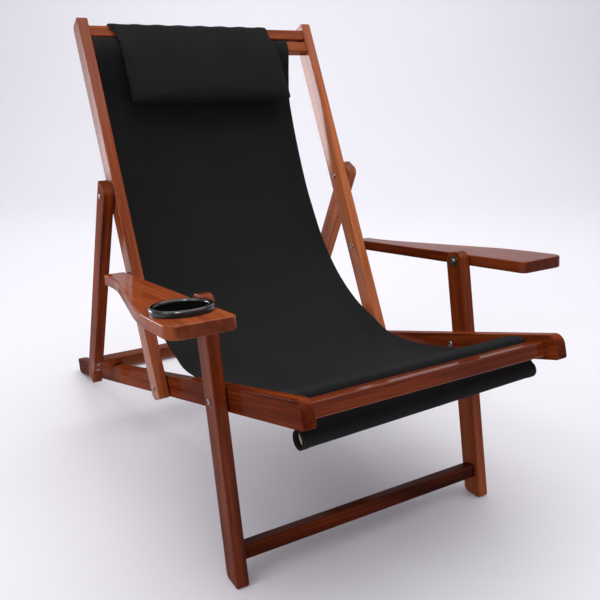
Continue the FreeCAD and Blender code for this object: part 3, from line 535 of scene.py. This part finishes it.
def columns(s):
    """The X of each column of the cloth, with close columns at its hemmed edges."""
    left = -edge_at(LEFT_EDGE, s)
    right_x = edge_at(RIGHT_EDGE, s)
    inner = np.linspace(left + HEM + 0.001, right_x - HEM - 0.001, MIDDLE_COLUMNS)[1:-1]
    return [left + d for d in HEM_COLUMNS] + list(inner) + [right_x - d for d in reversed(HEM_COLUMNS)]


# Half the cloth's thickness, as a share of CLOTH, at its very edge, in its side hems and between them.
RIM_HALF, HEM_HALF, PLAIN_HALF = 0.35, 0.95, 0.5
NEAR = 0.0005


def half_thickness(from_edge):
    """Half the cloth's thickness: double in the side hems, rounded at the very edge."""
    if from_edge < NEAR:
        return CLOTH * RIM_HALF
    if from_edge < HEM - NEAR:
        return CLOTH * HEM_HALF
    return CLOTH * PLAIN_HALF


def normals_of(points):
    """The upper side of a line of points, at each of them."""
    found = []
    for index in range(len(points)):
        along = points[min(index + 1, len(points) - 1)] - points[max(index - 1, 0)]
        found.append(Vector((0, -along.z, along.y)).normalized())
    return found


normals = normals_of(line)


def cloth_point(index, x, lift=0.0):
    """A point of the cloth. The front hem tilts with its dowel, and the tilt dies out up the slot."""
    s = float(lengths[index])
    left = edge_at(LEFT_EDGE, s)
    right_x = edge_at(RIGHT_EDGE, s)
    across = 2 * (x + left) / (left + right_x) - 1
    spot = line[index] + normals[index] * (lift - sag(s, across))
    tilted = 1 / (1 + math.exp((s - S_SLOT) / 0.006))
    return Vector((x, spot.y, spot.z + x * HEM_TILT * tilted))


def build_sling():
    """One continuous closed sheet, hemmed round both dowels and along both sides."""
    mesh = bmesh.new()
    uv = mesh.loops.layers.uv.new("cloth")
    rows = []
    for index, s in enumerate(lengths):
        s = float(s)
        xs = columns(s)
        row = []
        for x in xs:
            thick = half_thickness(min(x - xs[0], xs[-1] - x))
            front = mesh.verts.new(cloth_point(index, x, thick))
            back = mesh.verts.new(cloth_point(index, x, -thick))
            row.append((front, back, (x, s)))
        rows.append(row)
    return close_sheet(mesh, uv, rows, "sling")


STITCH_RADIUS = 0.00032
STITCH_SIDES = 6
STITCH_RINGS = ((0.0, 0.3), (0.18, 0.85), (0.5, 1.0), (0.82, 0.85), (1.0, 0.3))


def add_stitch(mesh, start, end, up):
    """A short rounded stitch lying on the cloth."""
    along = (end - start).normalized()
    side = along.cross(up).normalized()
    angles = [2 * math.pi * i / STITCH_SIDES for i in range(STITCH_SIDES)]
    rings = []
    for t, size in STITCH_RINGS:
        centre = start.lerp(end, t) + up * (STITCH_RADIUS * (0.9 * math.sin(math.pi * t) - 0.25))
        radius = STITCH_RADIUS * size
        rings.append([mesh.verts.new(centre + (side * math.cos(a) + up * math.sin(a)) * radius)
                      for a in angles])
    for first, second in zip(rings, rings[1:]):
        for i in range(STITCH_SIDES):
            after = (i + 1) % STITCH_SIDES
            mesh.faces.new([first[i], first[after], second[after], second[i]]).smooth = True
    mesh.faces.new(rings[0][::-1])
    mesh.faces.new(rings[-1])


SEAM_INSETS = (0.0030, 0.0112)
SEAM_START, SEAM_END = 8, 9
DOWEL_SEAMS = (on_rail(-0.1962, -0.024), on_rail(-0.1962, -0.018))
DOWEL_SEAM_INSET = 0.016
DOWEL_STITCH, DOWEL_PITCH = 0.0034, 0.005


def add_side_seam(mesh, sign, table, inset):
    """A row of stitches along one side hem, on both faces of the cloth."""
    step = float(lengths[1])
    for index in range(SEAM_START, len(line) - SEAM_END):
        s = float(lengths[index])
        x0 = sign * (edge_at(table, s) - inset)
        x1 = sign * (edge_at(table, s + step) - inset)
        for face_side in (1, -1):
            lift = face_side * CLOTH * HEM_HALF
            start = cloth_point(index, x0, lift)
            end = cloth_point(index + 1, x1, lift)
            add_stitch(mesh, start.lerp(end, 0.12), start.lerp(end, 0.80), normals[index] * face_side)


def add_dowel_seam(mesh, spot):
    """A row of stitches across the cloth, just above the front dowel's hem."""
    index = min(range(30, len(line)), key=lambda i: (line[i] - spot).length)
    s = float(lengths[index])
    x = -edge_at(LEFT_EDGE, s) + DOWEL_SEAM_INSET
    while x < edge_at(RIGHT_EDGE, s) - DOWEL_SEAM_INSET:
        start = cloth_point(index, x, CLOTH * PLAIN_HALF)
        end = cloth_point(index, x + DOWEL_STITCH, CLOTH * PLAIN_HALF)
        add_stitch(mesh, start, end, normals[index])
        x += DOWEL_PITCH


def build_stitching():
    """Rows of stitches along both side hems and across the front dowel's hem."""
    mesh = bmesh.new()
    for sign, table in ((-1, LEFT_EDGE), (1, RIGHT_EDGE)):
        for inset in SEAM_INSETS:
            add_side_seam(mesh, sign, table, inset)
    for spot in DOWEL_SEAMS:
        add_dowel_seam(mesh, spot)
    return piece_of(mesh, "sling_stitching")


SLING_CLOTH = charcoal("charcoal_cloth")
PAD_CLOTH = charcoal("charcoal_pillow_cloth", by_surface=False)
THREAD_MATERIAL = thread("charcoal_thread")

sling = build_sling()
give(sling, SLING_CLOTH)
stitching = build_stitching()
give(stitching, THREAD_MATERIAL)

# ---------------------------------------------------------------- pillow

PILLOW_LEFT_TOP, PILLOW_RIGHT_TOP = -0.2140, 0.1555
PILLOW_LEFT_BOTTOM, PILLOW_RIGHT_BOTTOM = -0.189, 0.193
# The pad's front and back faces down the back, as (along, over) in millimetres.
PILLOW_FRONT = [(755.5, 22.0), (746, 24.8), (732, 27.6), (716, 30.5), (697, 32.5), (675, 32), (652, 29.5),
                (630, 26), (611, 22.0), (598, 18.5), (590, 14.5), (586.5, 8), (587.5, 0)]
PILLOW_BACK = [(755.5, 17.6), (745, 17.8), (731, 18.2), (719, 22.2), (705, 22.4), (691, 17.4), (670, 2.0),
               (651, -11.0), (634, -22.5), (620, -31), (610, -34.5), (602, -30), (594, -16)]
PILLOW_ACROSS = 40
# The side seams lie this far from the front face to the back one, and keep this share of the thickness.
SEAM_DEPTH, SEAM_SHARE = 0.45, 0.06
PAD_VOXEL, PAD_MOVE, PAD_PRESSURE = 0.004, 0.0022, 3.0


def crown(t):
    """The stuffed thickness across the pillow, full in the middle and closed at the side seams."""
    return max(0.0, 1 - abs(2 * t - 1) ** 7) ** 0.5


def build_pillow():
    """The pad's closed cover, before it is stuffed."""
    mesh = bmesh.new()
    front, back = [], []
    for fore_place, back_place in zip(PILLOW_FRONT, PILLOW_BACK):
        depth = (PILLOW_FRONT[0][0] - fore_place[0]) / (PILLOW_FRONT[0][0] - PILLOW_FRONT[-2][0])
        left = PILLOW_LEFT_TOP + (PILLOW_LEFT_BOTTOM - PILLOW_LEFT_TOP) * depth
        right_x = PILLOW_RIGHT_TOP + (PILLOW_RIGHT_BOTTOM - PILLOW_RIGHT_TOP) * depth
        fore = Vector(fore_place) / 1000
        aft = Vector(back_place) / 1000
        middle = fore.lerp(aft, SEAM_DEPTH)
        front_row, back_row = [], []
        for column in range(PILLOW_ACROSS + 1):
            t = column / PILLOW_ACROSS
            x = left + (right_x - left) * t
            full = SEAM_SHARE + (1 - SEAM_SHARE) * crown(t)
            near = on_back(*(middle + (fore - middle) * full))
            far = on_back(*(middle + (aft - middle) * full))
            front_row.append(mesh.verts.new((x, near.y, near.z)))
            back_row.append(mesh.verts.new((x, far.y, far.z)))
        front.append(front_row)
        back.append(back_row)
    for grid, flip in ((front, False), (back, True)):
        for lower, upper in zip(grid, grid[1:]):
            for column in range(PILLOW_ACROSS):
                corners = [lower[column], lower[column + 1], upper[column + 1], upper[column]]
                mesh.faces.new(corners[::-1] if flip else corners)
    rim = [(front[0], back[0]), (front[-1], back[-1]), ([r[0] for r in front], [r[0] for r in back]),
           ([r[-1] for r in front], [r[-1] for r in back])]
    for fore, aft in rim:
        for a, b, c, d in zip(fore, fore[1:], aft[1:], aft):
            mesh.faces.new([a, b, c, d])
    bmesh.ops.recalc_face_normals(mesh, faces=mesh.faces)
    thing = piece_of(mesh, "pillow_pad")
    for polygon in thing.data.polygons:
        polygon.use_smooth = True
    return thing


def apply_modifiers(thing):
    """Replace a piece's mesh with its modified one."""
    graph = bpy.context.evaluated_depsgraph_get()
    data = bpy.data.meshes.new_from_object(thing.evaluated_get(graph))
    thing.modifiers.clear()
    old = thing.data
    thing.data = data
    bpy.data.meshes.remove(old)


SIMULATED_FRAMES = 20


def puff(thing, voxel, cap, pressure):
    """Let a stuffed cover swell and wrinkle by a cloth simulation, moving no point by more than the cap."""
    remesh = thing.modifiers.new("remesh", "REMESH")
    remesh.mode = "VOXEL"
    remesh.voxel_size = voxel
    apply_modifiers(thing)
    before = np.zeros(len(thing.data.vertices) * 3)
    thing.data.vertices.foreach_get("co", before)
    cloth = thing.modifiers.new("cloth", "CLOTH")
    cloth.settings.quality = 6
    cloth.settings.mass = 0.3
    cloth.settings.tension_stiffness = 18
    cloth.settings.compression_stiffness = 12
    cloth.settings.bending_stiffness = 0.4
    cloth.settings.use_pressure = True
    cloth.settings.uniform_pressure_force = pressure
    cloth.settings.shrink_min = -0.005
    cloth.settings.effector_weights.gravity = 0
    cloth.collision_settings.use_collision = False
    cloth.point_cache.frame_start = 1
    cloth.point_cache.frame_end = SIMULATED_FRAMES
    for number in range(1, SIMULATED_FRAMES + 1):
        scene.frame_set(number)
    apply_modifiers(thing)
    scene.frame_set(1)
    after = np.zeros(len(thing.data.vertices) * 3)
    thing.data.vertices.foreach_get("co", after)
    move = (after - before).reshape(-1, 3)
    size = np.linalg.norm(move, axis=1, keepdims=True)
    move = move * np.minimum(1, cap / np.maximum(size, 1e-9))
    thing.data.vertices.foreach_set("co", (before.reshape(-1, 3) + move).ravel())
    finer = thing.modifiers.new("finer", "SUBSURF")
    finer.levels = 1
    finer.render_levels = 1
    apply_modifiers(thing)
    for polygon in thing.data.polygons:
        polygon.use_smooth = True


# The front of what lies behind the pad, as (along, over) in millimetres on the back.
BEHIND_PAD = [(585, -42), (611, -36.5), (660, -7.0), (690, 14.6), (702, 20.6), (719, 21.2), (726, 18.6),
              (757, 18.6)]


def keep_in_front(thing):
    """Press the pad forward off the sling and the upper bar behind it."""
    alongs, overs = zip(*BEHIND_PAD)
    origin = on_back(0, 0)
    for vertex in thing.data.vertices:
        offset = vertex.co - origin
        along = offset.dot(BACK_ALONG)
        least = float(np.interp(along * 1000, alongs, overs)) / 1000
        over = offset.dot(BACK_OVER)
        if over < least:
            vertex.co += BACK_OVER * (least - over)


pillow_pad = build_pillow()
puff(pillow_pad, PAD_VOXEL, PAD_MOVE, PAD_PRESSURE)
keep_in_front(pillow_pad)
give(pillow_pad, PAD_CLOTH)

# The pillow hangs by a flap of its cover that goes over the upper bar and down behind the top hem.
FLAP_LINE = mm([(742, 22.0), (750, 20.4), (755, 17.4), (757.0, 12), (757.4, 4), (756.2, -3.5), (752, -10),
                (745, -19), (739, -28), (733, -34.5), (724, -39), (700, -49), (670, -62), (640, -76)],
               on_back)
flap_line, flap_lengths = smooth_line(FLAP_LINE, LINE_STEP)
flap_normals = normals_of(flap_line)


FLAP_MARGIN = 0.001
FLAP_WIDTH = PILLOW_RIGHT_TOP - PILLOW_LEFT_TOP - 2 * FLAP_MARGIN
FLAP_COLUMNS = 48
FLAP_HEM = 0.012
FLAP_HEM_HALF, FLAP_HALF = 0.0013, 0.0008


def build_flap():
    """A closed sheet with a hem at its free end, gathered where it goes over the bar."""
    mesh = bmesh.new()
    uv = mesh.loops.layers.uv.new("cloth")
    rows = []
    total = float(flap_lengths[-1])
    for spot, normal, s in zip(flap_line, flap_normals, flap_lengths):
        s = float(s)
        thick = FLAP_HEM_HALF if s > total - FLAP_HEM else FLAP_HALF
        row = []
        for column in range(FLAP_COLUMNS + 1):
            t = column / FLAP_COLUMNS
            x = PILLOW_LEFT_TOP + FLAP_MARGIN + FLAP_WIDTH * t
            gathers = 0.0010 * math.sin(t * 47 + 0.4) * bell(s, 0.022, 0.014)
            ripple = 0.0010 * math.sin(t * 9 + s * 20) * s / total
            middle = spot + normal * (gathers + ripple)
            front, back = middle + normal * thick, middle - normal * thick
            row.append((mesh.verts.new((x, front.y, front.z)), mesh.verts.new((x, back.y, back.z)),
                        (t * FLAP_WIDTH, s)))
        rows.append(row)
    return close_sheet(mesh, uv, rows, "pillow_flap")


pillow_flap = build_flap()
give(pillow_flap, SLING_CLOTH)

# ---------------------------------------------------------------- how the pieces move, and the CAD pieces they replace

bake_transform(sling)
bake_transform(stitching)
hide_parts("seat_sling", "back_sling")
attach(pillow_pad, "back_frame")
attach(pillow_flap, "back_frame")
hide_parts("pillow")

# ---------------------------------------------------------------- floor, backdrop and light

TOWARDS = Vector((forward.x, forward.y, 0)).normalized()
SIDEWAYS = Vector((-TOWARDS.y, TOWARDS.x, 0))


SWEEP_FRONT, SWEEP_CURVE, SWEEP_RADIUS, SWEEP_TOP = -9.0, 3.2, 2.2, 9.0
SWEEP_ACROSS = (-12, -4, 4, 12)


def build_sweep():
    """A pale floor that curves up into a backdrop behind the chair, seen from the camera."""
    curve = [(SWEEP_CURVE + SWEEP_RADIUS * math.sin(a), SWEEP_RADIUS * (1 - math.cos(a)))
             for a in np.linspace(0.08, math.pi / 2, 20)]
    profile = [(SWEEP_FRONT, 0.0), (SWEEP_CURVE, 0.0), *curve, (SWEEP_CURVE + SWEEP_RADIUS, SWEEP_TOP)]
    mesh = bmesh.new()
    rows = [[mesh.verts.new(TOWARDS * d + SIDEWAYS * w + Vector((0, 0, z))) for w in SWEEP_ACROSS]
            for d, z in profile]
    for lower, upper in zip(rows, rows[1:]):
        for a, b, c, d in zip(lower, lower[1:], upper[1:], upper):
            mesh.faces.new([a, b, c, d]).smooth = True
    return piece_of(mesh, "studio_floor")


def studio(name):
    """Pale matt studio paper."""
    g = Graph(name)
    spot = g.node("ShaderNodeTexCoord").outputs["Object"]
    tone = g.ramp(g.noise(spot, scale=0.6, detail=2),
                  [(0.3, (0.80, 0.80, 0.83)), (0.7, (0.82, 0.82, 0.85))])
    g.set(Base_Color=tone, Roughness=0.9, Specular_IOR_Level=0.1)
    return g.material


floor = build_sweep()
give(floor, studio("studio_paper"))


def softbox(name, place, target, width, height, power, colour):
    data = bpy.data.lights.new(name, "AREA")
    data.shape = "RECTANGLE"
    data.size = width
    data.size_y = height
    data.energy = power
    data.color = colour
    lamp = bpy.data.objects.new(name, data)
    lamp.location = place
    lamp.rotation_mode = "QUATERNION"
    lamp.rotation_quaternion = (Vector(target) - Vector(place)).to_track_quat("-Z", "Y")
    scene.collection.objects.link(lamp)
    return lamp


softbox("overhead", (0.3, 0.1, 3.6), (0, 0, 0), 5.0, 5.0, 128, (1.0, 0.985, 0.97))
softbox("left_side", (-3.0, -0.5, 2.6), (0, 0, 0.6), 1.8, 1.8, 30, (1.0, 0.96, 0.98))
softbox("backdrop_wash", (1.4, 2.6, 4.0), (3.0, 5.2, 1.2), 5.0, 2.0, 55, (0.98, 0.98, 1.0))
# A low panel to the left and behind, seen only as a sheen in the varnish.
glow = softbox("left_glow", (-2.4, 3.7, 0.65), (0, 0, 0.6), 2.0, 1.1, 80, (1.0, 0.95, 1.0))
glow.visible_diffuse = False
glow.visible_camera = False
glint = softbox("front_glint", (-1.5, -1.6, 2.8), (-0.3, -0.3, 0.5), 0.7, 0.7, 45, (1.0, 0.98, 1.0))
glint.visible_diffuse = False

world = bpy.data.worlds.new("studio")
world.use_nodes = True
world.node_tree.nodes["Background"].inputs[0].default_value = (0.95, 0.92, 1.0, 1)
world.node_tree.nodes["Background"].inputs[1].default_value = 0.50
scene.world = world
